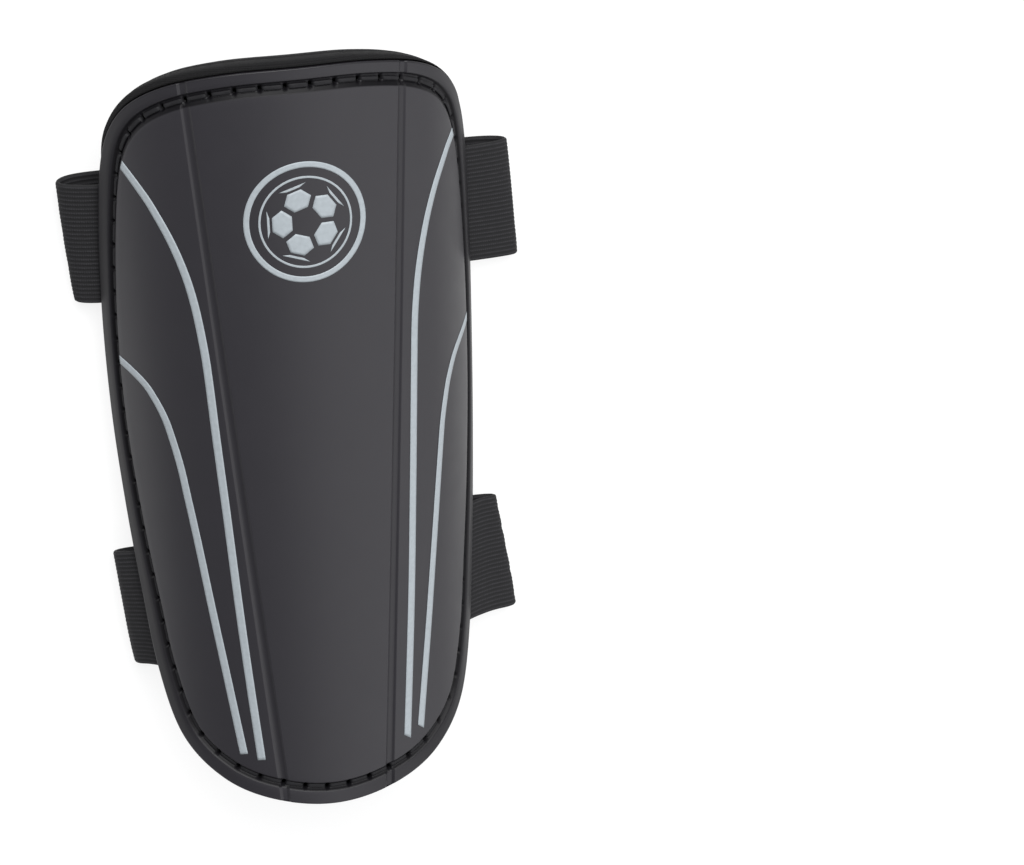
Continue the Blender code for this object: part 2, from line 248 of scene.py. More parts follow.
# Each fold at the strap's upper and lower edge: its reach in shares of the loop reach, the share
# of the exit height that it sinks beside the guard, and the slide of its layer on the floor
Fold = namedtuple("Fold", "upper_reach lower_reach upper_sink lower_sink slide")
FOLDS = {
    "upper_strap_outer": Fold(0.73, 0.53, 0.00, 0.00, 1.0),
    "upper_strap_inner": Fold(0.91, 1.00, 0.00, 0.00, -0.6),
    "lower_strap_outer": Fold(0.43, 0.42, 0.05, 0.22, -3.0),
    "lower_strap_inner": Fold(0.68, 1.12, 0.45, 0.40, -1.0),
}

# The middle of each printed stripe from the rim down: how far outside the bend line it runs, and
# its height on the guard
StripePoint = namedtuple("StripePoint", "beyond_bend high")
LONG_STRIPE_LEFT = rows_of(
    StripePoint,
    (0.0250, 0.0850), (0.0186, 0.0780), (0.0154, 0.0740), (0.0127, 0.0699),
    (0.0086, 0.0614), (0.0058, 0.0526), (0.0042, 0.0436), (0.0034, 0.0330),
    (0.0032, 0.0230), (0.0035, 0.0040), (0.0037, -0.0170), (0.0041, -0.0461),
    (0.0042, -0.0700), (0.0041, -0.0938),
)
LONG_STRIPE_RIGHT = rows_of(
    StripePoint,
    (0.0270, 0.0855), (0.0203, 0.0792), (0.0172, 0.0759), (0.0125, 0.0688),
    (0.0092, 0.0613), (0.0070, 0.0535), (0.0055, 0.0454), (0.0047, 0.0371),
    (0.0044, 0.0286), (0.0045, 0.0112), (0.0047, -0.0108), (0.0049, -0.0468),
    (0.0047, -0.0744), (0.0045, -0.0933),
)
SHORT_STRIPE_LEFT = rows_of(
    StripePoint,
    (0.0360, 0.0243), (0.0289, 0.0215), (0.0236, 0.0180), (0.0206, 0.0139),
    (0.0185, 0.0096), (0.0172, 0.0051), (0.0155, -0.0041), (0.0146, -0.0134),
    (0.0134, -0.0277), (0.0121, -0.0470), (0.0107, -0.0666), (0.0090, -0.0921),
)
SHORT_STRIPE_RIGHT = rows_of(
    StripePoint,
    (0.0360, 0.0256), (0.0273, 0.0203), (0.0229, 0.0166), (0.0202, 0.0122),
    (0.0184, 0.0075), (0.0165, -0.0012), (0.0153, -0.0126), (0.0143, -0.0242),
    (0.0129, -0.0419), (0.0116, -0.0597), (0.0102, -0.0778), (0.0092, -0.0917),
)

# Each soft light's place, its size and its power
Light = namedtuple("Light", "name place size power")
LIGHTS = rows_of(
    Light,
    ("softbox", (0.92, -0.56, 1.04), 2.1, 15.0),
    ("top", (0.0, 1.45, 1.45), 1.5, 55.0),
    ("fill", (-1.6, 0.2, 0.5), 0.8, 1.2),
)

# Mesh density
wall_columns = 5
tuck_points = 4
strap_lines = 9
strap_stations = 110
columns_per_cord = 6
edge_roll_steps = 16
ring_turns = 160
stripe_steps = 16
stripe_samples = 400
stripe_stations = 180
film_lines = 5
samples_per_span = 24
path_steps = 6
ball_steps = 4
flat_step = 0.0005
corner_share = 0.45
fine_per_step = 5
sharp_degrees = 55.0


def smooth_path(points, steps):
    """A smooth curve through points, with a number of steps in each span."""
    points = np.asarray(points, float)
    before = 2 * points[0] - points[1]
    after = 2 * points[-1] - points[-2]
    padded = np.vstack([before, points, after])
    t = np.arange(steps)[:, None] / steps
    spans = [0.5 * (2 * second
                    + (third - first) * t
                    + (2 * first - 5 * second + 4 * third - fourth) * t ** 2
                    + (3 * second - first - 3 * third + fourth) * t ** 3)
             for first, second, third, fourth in zip(padded, padded[1:], padded[2:], padded[3:])]
    return np.vstack(spans + [points[-1:]])


def eased(share):
    """A share from 0 to 1 with a soft start and end."""
    share = np.clip(share, 0, 1)
    return share * share * (3 - 2 * share)


def between(start, end, share):
    """What lies a share of the way from a start to an end."""
    return (1 - share) * start + share * end


def lengths_along(points):
    """The distance of each point of a path from its start."""
    return np.concatenate([[0], np.cumsum(np.linalg.norm(np.diff(points, axis=0), axis=1))])


def run_and_aside(points):
    """The unit directions along a flat path and to its left, at each of its points."""
    run = np.gradient(points, axis=0)
    run /= np.linalg.norm(run, axis=1, keepdims=True)
    return run, np.column_stack([-run[:, 1], run[:, 0]])


def both_sides(right):
    """A closed ring from its right half and that half's mirror image."""
    return np.vstack([right, right[-2:0:-1] * np.array([-1, 1])])


def read_off(wanted, along, points):
    """The path's points at the wanted measures, when `along` has the measures of its own points."""
    return np.column_stack([np.interp(wanted, along, values) for values in points.T])


def resampled(points, count):
    """A path with its points spread evenly."""
    along = lengths_along(points)
    return read_off(np.linspace(0, along[-1], count), along, points)


class Outline:
    """The right half of the backing's edge, and of the shell's inside it, as fine curves."""

    def __init__(self):
        sizes = np.array([half_width, half_length])
        table = np.array(OUTLINE) * sizes
        mirror = np.array([-1, 1])
        whole = np.vstack([table[1] * mirror, table, table[-2] * mirror])
        fine = smooth_path(whole, samples_per_span)[samples_per_span:-samples_per_span]
        along = lengths_along(fine)
        tangent = np.gradient(fine, along, axis=0)
        tangent[[0, -1], 1] = 0
        tangent /= np.hypot(tangent[:, 0], tangent[:, 1])[:, None]
        self.share = along / along[-1]
        self.points = fine
        self.normals = np.column_stack([-tangent[:, 1], tangent[:, 0]])
        facing = self.normals[:, 1]
        end_inset = np.where(facing > 0, shell_inset_top, shell_inset_bottom)
        self.shell_inset = shell_inset_side + (end_inset - shell_inset_side) * facing ** 2
        self.off_top = eased(1 - facing_to_top * facing)
        self.facing = facing

    def inset(self, distance, shell=False):
        """Every fine point of the backing's edge, or of the shell's, moved inwards.

        Off the top end the shell's rim is wider, and its groove is narrower by as much. At the
        sides the rim also reaches further out, and what is inside it stays where it is.
        """
        share = min(distance / rim_width, 1.0)
        widened = rim_extra * np.interp(distance, (0.0, rim_width, shell_border), (0.0, 1.0, 0.0))
        reached = rim_reach_side * share * (1 - self.facing ** 2)
        distances = distance + shell * (self.shell_inset + widened * self.off_top + reached)
        return self.points - distances[:, None] * self.normals

    def at(self, shares, distance, shell=False):
        """Points of the inset edge at the given shares of its length."""
        return read_off(shares, self.share, self.inset(distance, shell))

    def share_at_line(self, line, distance, shell, top):
        """The share of the length where the inset edge crosses a lengthwise line."""
        curve = self.inset(distance, shell)
        beyond = curve[:, 0] - line(curve[:, 1])
        middle = len(beyond) // 2
        part = slice(0, middle) if top else slice(middle, None)
        order = 1 if top else -1
        return float(np.interp(0.0, beyond[part][::order], self.share[part][::order]))

    def half_width_at(self, y, distance):
        """Distance round the curve from the crest to the shell's inset edge at a height y."""
        curve = self.inset(distance, True)
        return np.interp(y, curve[::-1, 1], curve[::-1, 0])


def bend_line(offset=0.0):
    """The distance of a bend line from the crest as a function of y, moved outwards by offset."""
    spread = bend_from_crest_top - bend_from_crest_bottom

    def distance(y):
        share = (y + half_length) / backing_length
        return bend_from_crest_bottom + spread * share + offset
    return distance


def bent(points, level):
    """Flat points, each a distance round the guard and a y, bent to its curve at a level."""
    aside, y = points[..., 0], points[..., 1]
    reach = np.abs(aside)
    bend = bend_line()(y)
    crown = np.minimum(reach, bend) / crown_radius
    turn = crown + np.maximum(reach - bend, 0) / side_radius
    x = crown_radius * np.sin(crown) + side_radius * (np.sin(turn) - np.sin(crown))
    z = crown_radius * (np.cos(crown) - 1) + side_radius * (np.cos(turn) - np.cos(crown))
    x, z = x + level * np.sin(turn), z + level * np.cos(turn)
    return np.stack([np.sign(aside) * x, y, z], axis=-1)


def edit_mesh(mesh, change):
    """Change a mesh in its editable form."""
    work = bmesh.new()
    work.from_mesh(mesh)
    change(work)
    work.to_mesh(mesh)
    work.free()


def linked(name, data):
    """A new object in the scene."""
    made = bpy.data.objects.new(name, data)
    bpy.context.scene.collection.objects.link(made)
    return made


def make_object(name, vertices, faces, uv=None, closed=True, looks=()):
    """A smooth mesh object in the guard's frame, with its faces outwards and its looks."""
    mesh = bpy.data.meshes.new(name)
    faces = [list(map(int, face)) for face in faces]
    mesh.from_pydata(np.asarray(vertices, float).tolist(), [], faces)
    mesh.update()
    if uv is not None:
        corners = np.empty(len(mesh.loops), int)
        mesh.loops.foreach_get("vertex_index", corners)
        layer = mesh.uv_layers.new(name="flat")
        layer.data.foreach_set("uv", np.asarray(uv, float)[corners].ravel())
    if closed:
        edit_mesh(mesh, lambda work: bmesh.ops.recalc_face_normals(work, faces=work.faces))
    mesh.shade_smooth()
    mesh.set_sharp_from_angle(angle=math.radians(sharp_degrees))
    for look in looks:
        mesh.materials.append(look)
    made = linked(name, mesh)
    made.location = crest
    return made


def numbered(rows, columns):
    """A table of vertex numbers, row by row."""
    return np.arange(rows * columns).reshape(rows, columns)


def edge_of(index):
    """The vertex numbers round the edge of a table, from its first corner."""
    return np.concatenate([index[0], index[1:, -1], index[-1, ::-1][1:], index[::-1, 0][1:-1]])


def grid_faces(index):
    """Quads between the neighbouring rows and columns of a table of vertex numbers."""
    return np.stack([index[:-1, :-1], index[:-1, 1:], index[1:, 1:], index[1:, :-1]],
                    axis=-1).reshape(-1, 4).tolist()


def closed_strip(inner, outer):
    """Quads between two closed rings of vertex numbers of equal count."""
    return np.stack([inner, outer, np.roll(outer, -1), np.roll(inner, -1)], axis=-1).tolist()


def tube_faces(rings):
    """Quads between each closed ring of vertex numbers and the next one."""
    return [face for near, far in zip(rings, rings[1:]) for face in closed_strip(near, far)]


class Plate:
    """A curved plate: a grid of rows and columns inside fine rings that follow its outline.

    Some of the columns are lines that keep their offset from the bend line, for the channels.
    """

    def __init__(self, outline, grid_inset, shell, offsets, crown_columns, side_columns, rows):
        self.outline = outline
        self.shell = shell
        self.offsets = offsets
        self.rows = rows
        self.stops = self.stops_at(grid_inset)
        self.straight_columns = crown_columns + len(offsets) - 1
        self.half_columns = self.straight_columns + side_columns
        across = [crown_columns] + [1] * (len(offsets) - 1) + [side_columns]
        counts = across + [rows] + across[::-1]
        runs = [np.linspace(start, end, count + 1)[1:]
                for start, end, count in zip(self.stops, self.stops[1:], counts)]
        self.half = np.concatenate([self.stops[:1]] + runs)
        steps = np.arange(len(self.half))
        fine_steps = np.arange(fine_per_step * (len(self.half) - 1) + 1) / fine_per_step
        self.fine_half = np.interp(fine_steps, steps, self.half)
        self.grid = self.fill(self.border(self.half, grid_inset))

    def stops_at(self, inset):
        """The shares where the inset edge meets the crest, the lines and the corners."""
        cross = self.outline.share_at_line
        lines = [bend_line(offset) for offset in self.offsets]
        corner_top = bend_line(corner_share * (half_width - bend_from_crest_top))
        corner_bottom = bend_line(corner_share * (half_width - bend_from_crest_bottom))
        top = [cross(line, inset, self.shell, True) for line in lines + [corner_top]]
        bottom = [cross(line, inset, self.shell, False) for line in [corner_bottom] + lines[::-1]]
        return np.array([0.0] + top + bottom + [1.0])

    def facing(self, half, inset):
        """How far each point of the closed ring faces the top end: 1 there, -1 at the bottom."""
        shares = np.interp(half, self.stops, self.stops_at(inset))
        right = np.interp(shares, self.outline.share, self.outline.facing)
        return np.concatenate([right, right[-2:0:-1]])

    def border(self, half, inset):
        """The closed ring at an inset, clockwise from the crest at the top, kept to the lines."""
        shares = np.interp(half, self.stops, self.stops_at(inset))
        return both_sides(self.outline.at(shares, inset, self.shell))

    def fill(self, ring):
        """Grid points inside a ring: straight columns between the lines, blended ones outside."""
        half_columns, rows = self.half_columns, self.rows
        columns = 2 * half_columns
        ring = np.roll(ring, half_columns, axis=0)
        top = ring[:columns + 1]
        right = ring[columns:columns + rows + 1]
        bottom = ring[columns + rows:2 * columns + rows + 1][::-1]
        left = np.vstack([ring[:1], ring[2 * columns + rows:][::-1]])
        down = np.linspace(0, 1, rows + 1)[:, None, None]
        grid = between(top[None], bottom[None], down)
        for side, edge in ((range(0, half_columns - self.straight_columns + 1), left),
                           (range(columns, half_columns + self.straight_columns - 1, -1), right)):
            side = list(side)
            inner = grid[:, side[-1]].copy()
            ruled = grid[:, side].copy()
            across = np.linspace(0, 1, len(side))[None, :, None]
            blend = between(edge[:, None], inner[:, None], across)
            high, low = between(edge[0], inner[0], across), between(edge[-1], inner[-1], across)
            grid[:, side] = blend + ruled - between(high, low, down)
        return grid

    def solid(self, name, front, rings, back, looks):
        """Join the front grid, the fine rings from front to back and the back grid."""
        index = numbered(*self.grid.shape[:2])
        size = index.size
        cycle = np.roll(edge_of(index), -self.half_columns)
        faces = grid_faces(index) + grid_faces(index + size)
        count = fine_per_step * len(cycle)
        loops = [2 * size + number * count + np.arange(count) for number in range(len(rings))]
        faces += tube_faces(loops)
        for coarse, fine in ((cycle, loops[0]), (cycle + size, loops[-1])):
            for step, vertex in enumerate(coarse):
                start = step * fine_per_step
                run = [fine[(start + number) % count] for number in range(fine_per_step + 1)]
                faces.append([vertex] + run + [coarse[(step + 1) % len(coarse)]])
        vertices = np.vstack([front.reshape(-1, 3), back.reshape(-1, 3)] + list(rings))
        return make_object(name, vertices, faces, looks=looks)


class Groove:
    """The middle of the stitching groove all round the shell, with its holes and stitches."""

    def __init__(self, outline):
        right = outline.inset(stitch_inset, True)
        left = right[-2::-1] * np.array([-1, 1])
        self.path = np.vstack([right, left])
        self.along = lengths_along(self.path)
        self.off_top = np.concatenate([outline.off_top, outline.off_top[-2::-1]])
        self.total = self.along[-1]
        half_along = self.along[:len(right)]
        channel = bend_line(-channel_inside_bend)
        high, low = [np.interp(outline.share_at_line(channel, stitch_inset, True, top),
                               outline.share, half_along) for top in (True, False)]
        ends = (high, low, self.total - low, self.total - high, self.total + high)
        self.holes = []
        self.stitches = []
        for start, end in zip(ends, ends[1:]):
            stops = np.linspace(start, end, max(1, round((end - start) / stitch_pitch)) + 1)
            self.holes += list(stops[:-1])
            self.stitches += list(zip(stops, stops[1:]))
        self.holes = np.array(self.holes)
        self.hole_points = self.at(self.holes)
        run = self.at(self.holes + stitch_pitch / 20) - self.at(self.holes - stitch_pitch / 20)
        self.hole_runs = run / np.linalg.norm(run, axis=1, keepdims=True)

    def at(self, lengths):
        return read_off(np.mod(lengths, self.total), self.along, self.path)

    def off_top_at(self, lengths):
        """1 where the groove is narrow, 0 at the top end where it is wide."""
        return np.interp(np.mod(lengths, self.total), self.along, self.off_top)

    def holes_at(self, points):
        """1 in the middle of a stitch hole, falling to 0 at its edge."""
        apart = points[:, None] - self.hole_points[None]
        along = np.abs(np.sum(apart * self.hole_runs[None], axis=-1))
        across = np.sqrt(np.maximum(np.sum(apart ** 2, axis=-1) - along ** 2, 0))
        share = np.hypot(along / hole_half_length, across / hole_half_width).min(axis=1)
        return 1 - eased(2 * share - 1)


def channel_share(points):
    """1 on the floor of a channel, falling smoothly to 0 at the edge of each wall."""
    offset = np.abs(points[..., 0]) - bend_line()(points[..., 1])
    outer = (offset - channel_floor_to) / channel_outer_wall
    inner = (channel_floor_from - offset) / channel_inner_wall
    return np.clip(1 - np.maximum(outer, inner), 0, 1)


# Painted shade, from 0 to 1: how much darker the shell's edge is painted at the top end, at the
# sides, at the bottom end and at the lower right corner, standing in for how the light falls and
# for the groove's shade
Shade = namedtuple("Shade", "top side bottom corner")
PANEL_EDGE = Shade(0.40, 0.30, 0.00, 0.10)
SLOPE = Shade(0.75, 0.50, 0.45, 0.50)
GROOVE = Shade(0.45, 0.75, 0.70, 0.75)
RIM_INSIDE = Shade(0.10, 0.35, 0.60, 0.60)
RIM = Shade(0.08, 0.48, 0.00, 0.48)
RIM_EDGE = Shade(0.35, 0.45, 0.00, 0.45)

ProfilePoint = namedtuple("ProfilePoint", "inset level shade")


def border_profile():
    """The panel's edge and outwards from it: slope, floor of the groove, rim and rounded edge."""
    wall = groove_wall / 2
    foot = groove_foot
    floor = -groove_depth
    slope_foot = shell_border - groove_slope
    profile = [
        ProfilePoint(shell_border + panel_rounding / 2, -foot / 4, PANEL_EDGE),
        ProfilePoint(shell_border, -foot, SLOPE),
        ProfilePoint(shell_border - groove_slope / 2, floor / 2, SLOPE),
        ProfilePoint(slope_foot + foot, floor + foot, SLOPE),
        ProfilePoint(slope_foot, floor, GROOVE),
        ProfilePoint(stitch_inset + stitch_half_width / 2, floor, GROOVE),
        ProfilePoint(stitch_inset, floor, GROOVE),
        ProfilePoint(stitch_inset - stitch_half_width / 2, floor, GROOVE),
        ProfilePoint(rim_width + wall, floor, GROOVE),
        ProfilePoint(rim_width, floor + foot, GROOVE),
        ProfilePoint(rim_width - wall, (rim_height + floor) / 2, GROOVE),
        ProfilePoint(rim_width - 2 * wall, rim_height - foot, RIM_INSIDE),
        ProfilePoint(rim_width - 3 * wall, rim_height, RIM),
        ProfilePoint(rim_width / 2, rim_height, RIM),
        ProfilePoint(rim_rounding + foot, rim_height, RIM),
    ]
    for turn in np.linspace(0, math.pi / 2, 5):
        profile.append(ProfilePoint(rim_rounding * (1 - math.sin(turn)),
                                    rim_height - rim_rounding * (1 - math.cos(turn)), RIM_EDGE))
    return profile


def make_shell(outline, groove, look):
    inner_edge = channel_floor_from - channel_inner_wall
    outer_edge = channel_floor_to + channel_outer_wall
    offsets = [inner_edge - channel_edge,
               *np.linspace(inner_edge, channel_floor_from, wall_columns),
               *np.linspace(channel_floor_to, outer_edge, wall_columns),
               outer_edge + channel_edge]
    plate = Plate(outline, shell_border + panel_rounding, True, offsets,
                  crown_columns=18, side_columns=12, rows=110)
    sunken = channel_share(plate.grid)
    front = bent(plate.grid, -channel_depth * sunken)
    # Painted shade per vertex: on the channels in the front grid, none on the back grid, then one
    # set for each ring
    rings, shadows = [], [channel_shade * sunken.ravel(), np.zeros(sunken.size)]
    for inset, level, shade in border_profile():
        points = plate.border(plate.fine_half, inset)
        sunken = channel_share(points)
        facing = plate.facing(plate.fine_half, inset)
        # Painted shade from the Shade table, blended by which way this ring faces
        towards_top, towards_bottom = np.maximum(facing, 0) ** 2, np.maximum(-facing, 0) ** 2
        at_corner = 2 * np.sqrt(towards_bottom * (1 - towards_bottom)) * (points[:, 0] > 0)
        dark = shade.side + (shade.top - shade.side) * towards_top
        dark += (shade.bottom - shade.side) * towards_bottom
        dark += (shade.corner - dark) * at_corner
        # The stitch holes are painted darkest: partly painted shade in their depth, partly the
        # black backing that shows through them
        hole = groove.holes_at(points) * (shade in (SLOPE, GROOVE, RIM_INSIDE))
        over_floor = min(1 + level / groove_depth, 1) * (inset > 0)
        low = level - hole_depth * hole - channel_depth * sunken * over_floor
        rings.append(bent(points, low))
        shadows.append(np.maximum(hole, dark))
    for inset, level in ((0.0, rim_rounding - shell_thickness), (rim_rounding, -shell_thickness)):
        points = plate.border(plate.fine_half, inset)
        rings.append(bent(points, level))
        shadows.append(np.zeros(len(points)))
    back = bent(plate.grid, -shell_thickness)
    made = plate.solid("shell_moulding", front, rings, back, [look])
    shade = made.data.attributes.new("shade", "FLOAT", "POINT")
    shade.data.foreach_set("value", np.concatenate(shadows))
    return made


def make_stitches(groove, look):
    """Flat twisted threads from hole to hole, dipping into the holes at their ends."""
    vertices, faces, uv = [], [], []
    ends = np.abs(2 * stitch_shares - 1)
    narrowed = 1 - stitch_narrowing * ends ** stitch_narrowing_power
    dipped = stitch_half_height - groove_depth - stitch_dip * ends ** stitch_dip_power
    stations, turns = len(stitch_shares), len(stitch_turns)
    index = numbered(stations, turns)
    sides, rises = (np.sign(wave) * np.abs(wave) ** stitch_squareness
                    for wave in (np.cos(stitch_turns), np.sin(stitch_turns)))
    for number, (start, end) in enumerate(groove.stitches):
        uneven = stitch_unevenness * math.sin(stitch_uneven_turn * number)
        lengths = start + stitch_clear + (end - start - 2 * stitch_clear) * stitch_shares
        off_top = groove.off_top_at(lengths)
        half = stitch_half_width * narrowed * (1 + uneven)
        middle = dipped - stitch_sink * off_top + stitch_half_height * uneven
        points = groove.at(lengths)
        aside = run_and_aside(points)[1]
        twist = stitch_turns[None] - 2 * math.pi * stitch_twists * stitch_shares[:, None]
        swell = 1 + twist_relief * np.cos(2 * twist)
        sideways = half[:, None] * sides[None] * swell
        upwards = middle[:, None] + stitch_half_height * rises[None] * swell
        place = points[:, None] + aside[:, None] * sideways[..., None]
        base = len(vertices) * stations * turns
        vertices.append(bent(place, upwards).reshape(-1, 3))
        around = np.arange(turns) * (4 * stitch_half_width / turns)
        uv.append(np.stack(np.meshgrid(lengths, around, indexing="ij"), axis=-1).reshape(-1, 2))
        ring = index + base
        faces += tube_faces(ring) + [ring[0].tolist(), ring[-1].tolist()]
    return make_object("shell_stitching", np.vstack(vertices), faces, uv=np.vstack(uv),
                       looks=[look])


def strap_pocket(y, level):
    """The front of the backing, lowered to the pocket level where a strap passes."""
    deep = np.zeros_like(level)
    for middle in (upper_strap_y, lower_strap_y):
        outside = np.abs(y - middle) - elastic_width / 2 - pocket_margin
        deep = np.maximum(deep, eased(1 - outside / pocket_ramp))
    return between(level, np.minimum(level, -pocket_level), deep)


def puffed(grid):
    """The back panel blown up as a cloth that is sewn down all round, moved less than the cap."""
    index = numbered(*grid.shape[:2])
    cloth = make_object("panel_cloth", grid.reshape(-1, 3), grid_faces(index), closed=False)
    if cloth.data.polygons[0].normal.z > 0:
        cloth.data.flip_normals()
    group = cloth.vertex_groups.new(name="sewn")
    group.add(edge_of(index).tolist(), 1.0, "REPLACE")
    modifier = cloth.modifiers.new("Cloth", "CLOTH")
    modifier.point_cache.frame_start = 1
    modifier.point_cache.frame_end = panel_frames
    settings = modifier.settings
    settings.vertex_group_mass = "sewn"
    settings.use_pressure = True
    settings.uniform_pressure_force = panel_pressure
    settings.shrink_min = panel_slack
    settings.effector_weights.gravity = 0
    scene = bpy.context.scene
    for number in range(1, panel_frames + 1):
        scene.frame_set(number)
    shown = cloth.evaluated_get(bpy.context.evaluated_depsgraph_get()).data
    moved = np.empty(3 * len(shown.vertices))
    shown.vertices.foreach_get("co", moved)
    moved = moved.reshape(grid.shape) - grid
    scene.frame_set(1)
    bpy.data.objects.remove(cloth, do_unlink=True)
    far = np.linalg.norm(moved, axis=-1, keepdims=True)
    return grid + moved * panel_cap / (far + panel_cap)


# Down the seam on the side of the cover, in shares of its relief: how far down and how far out
COVER_SEAM = ((-3, 1), (-1, 0), (0, -1), (1, 0), (3, 1))

# From the side to the back, in shares of the edge roll's width: how far in and how high
BACK_ROLL = ((0.3, 1.0), (1.0, 1 / 3), (2.0, 0.0))

# Across the sewn line behind, in shares of its half width, its depth and its dimples' depth
SeamPoint = namedtuple("SeamPoint", "across deep dimpled")
SEAM = rows_of(SeamPoint, (-1.0, 0.3, 0.5), (-0.5, 0.8, 1.0), (0.0, 1.0, 1.0), (0.5, 0.8, 1.0),
               (1.0, 0.3, 0.5))


def make_backing(outline, looks):
    """The padded backing: its edge in the first look and its blown-up back panel in the second."""
    under_rim = shell_inset_side + elastic_tuck + 4 * gap
    grid_inset = under_rim + seam_half_width
    plate = Plate(outline, grid_inset, False, [0.0], crown_columns=16, side_columns=14, rows=110)
    fine = plate.fine_half
    rim_ring = both_sides(outline.at(fine, -gap, True))

    def border(inset):
        """A ring of the backing, which narrows and leans a little to the left at its top end."""
        points = plate.border(fine, inset)
        upwards = eased((points[:, 1] - skew_start) / (half_length - skew_start))
        points[:, 0] -= (top_skew + top_narrowing * points[:, 0]) * upwards
        return points

    edge_ring = border(0.0)
    along = lengths_along(edge_ring)
    stitch = np.abs(np.sin(math.pi * along / seam_pitch))

    def sunk(points, depth):
        """A level of the edge, which wraps up over the shell's edge only at the top end."""
        wrapped = eased((points[:, 1] - wrap_start) / wrap_run)
        room = (backing_back - depth) / (backing_back - edge_roll_drop)
        return -depth - (1 - wrapped) * room * (side_edge_drop - edge_roll_drop)

    def front_ring(points, level):
        return bent(points, strap_pocket(points[:, 1], level))

    def edge_roll(share):
        """The front of the edge, a share of the way from the shell's edge outwards."""
        points = between(rim_ring, edge_ring, share)
        crevice = crevice_depth * (1 - eased(share / crevice_share))
        turned = max(0.0, (share - roll_start) / (1 - roll_start))
        drop = edge_roll_width * (1 - math.sqrt(1 - turned ** 2))
        return front_ring(points, sunk(points, edge_roll_drop + crevice + drop))

    def side_ring(depth, outwards=0.0):
        points = border(-outwards)
        return bent(points, sunk(points, depth))

    def back_ring(inset, depth, dimple=0.0):
        points = border(inset)
        return bent(points, -depth + dimple * (1 - stitch))

    cover_seam = edge_roll_drop + edge_roll_width + cover_seam_drop
    hidden = np.full(len(rim_ring), -backing_front)
    rings = [front_ring(plate.border(fine, under_rim), hidden),
             front_ring(plate.border(fine, shell_inset_side + rim_width), hidden),
             front_ring(rim_ring, hidden)]
    rings += [edge_roll(share) for share in np.linspace(0, 1, edge_roll_steps + 1)]
    rings += [side_ring(cover_seam + down * cover_seam_relief, out * cover_seam_relief)
              for down, out in COVER_SEAM]
    rings.append(side_ring(backing_back - 2 * edge_roll_width))
    rings += [back_ring(within * edge_roll_width, backing_back - high * edge_roll_width)
              for within, high in BACK_ROLL]
    rings += [back_ring(seam_inset * border_swell_share, backing_back + seam_dimple / 3),
              back_ring(seam_inset - 1.5 * seam_half_width, backing_back)]
    rings += [back_ring(seam_inset + point.across * seam_half_width,
                        backing_back - point.deep * seam_depth, point.dimpled * seam_dimple)
              for point in SEAM]
    across, high = plate.grid[..., 0], plate.grid[..., 1]
    sideways = np.clip(1 - (np.abs(across) / half_width) ** 2, 0, 1)
    lengthwise = np.clip(1 - (high / half_length) ** 2, 0, 1)
    back = bent(plate.grid, -backing_back - padding_crown * np.sqrt(sideways * lengthwise))
    back = puffed(back)
    front = bent(plate.grid, -backing_front)
    made = plate.solid("backing_cover", front, rings, back, looks)
    panel_faces = (plate.grid.shape[0] - 1) * (plate.grid.shape[1] - 1)
    for face in made.data.polygons[panel_faces:2 * panel_faces]:
        face.material_index = 1
    return made


class StrapPath(namedtuple("StrapPath", "outline side fold middle floor steps_under")):
    """The middle line of one strap's layer at a height y, from its slot to its end underneath."""

    def at(self, share):
        """The path for a share of the strap's width, from its upper to its lower edge."""
        y = self.middle + elastic_width * (0.5 - share)
        rim = float(self.outline.half_width_at(y, 0.0))
        outwards = np.linspace(rim - elastic_tuck, rim, tuck_points)
        tucked = bent(np.column_stack([outwards, np.full(tuck_points, y)]), -slot_level)
        leave = tucked[-1]
        fold = self.fold
        reach = loop_reach * between(fold.upper_reach, fold.lower_reach, share)
        sink = between(fold.upper_sink, fold.lower_sink, share)
        lowest = self.floor + elastic_thickness / 2
        loop = []
        for point in LOOP:
            high = point.high * (1 - sink * min(point.out / sink_run, 1))
            loop.append((leave[0] + point.out * reach,
                         y + layer_slide * fold.slide * (1 - point.high),
                         lowest + high * (leave[2] - lowest)))
        loop = smooth_path(loop, path_steps)
        under = [(x, loop[-1][1], lowest + level) for x, level in self.steps_under]
        path = np.vstack([tucked[:-1], loop, under])
        path[:, 0] *= self.side
        return path


def rounded_path(path, count):
    """The path with even points, and its corners rounded over a short run."""
    fine = resampled(path, 4 * count)
    step = lengths_along(fine)[-1] / (len(fine) - 1)
    reach = max(1, round(strap_rounding / 2 / step))
    before = 2 * fine[0] - fine[reach:0:-1]
    after = 2 * fine[-1] - fine[-2:-reach - 2:-1]
    padded = np.vstack([before, fine, after])
    window = np.ones(2 * reach + 1) / (2 * reach + 1)
    smooth = np.column_stack([np.convolve(values, window, "valid") for values in padded.T])
    return resampled(smooth, count)


def sheet(name, middle, half_thickness, uv, looks):
    """A closed sheet round a grid of middle points, with its own half thickness at each."""
    along = np.gradient(middle, axis=1)
    across = np.gradient(middle, axis=0)
    normal = np.cross(along, across)
    normal /= np.linalg.norm(normal, axis=-1, keepdims=True)
    sheets = np.stack([middle + normal * half_thickness[..., None],
                       middle - normal * half_thickness[..., None]])
    index = numbered(*middle.shape[:2])
    under, edge = index + index.size, edge_of(index)
    faces = grid_faces(index) + grid_faces(under) + closed_strip(edge, edge + index.size)
    return make_object(name, sheets.reshape(-1, 3), faces, uv=np.vstack([uv, uv]), looks=looks)


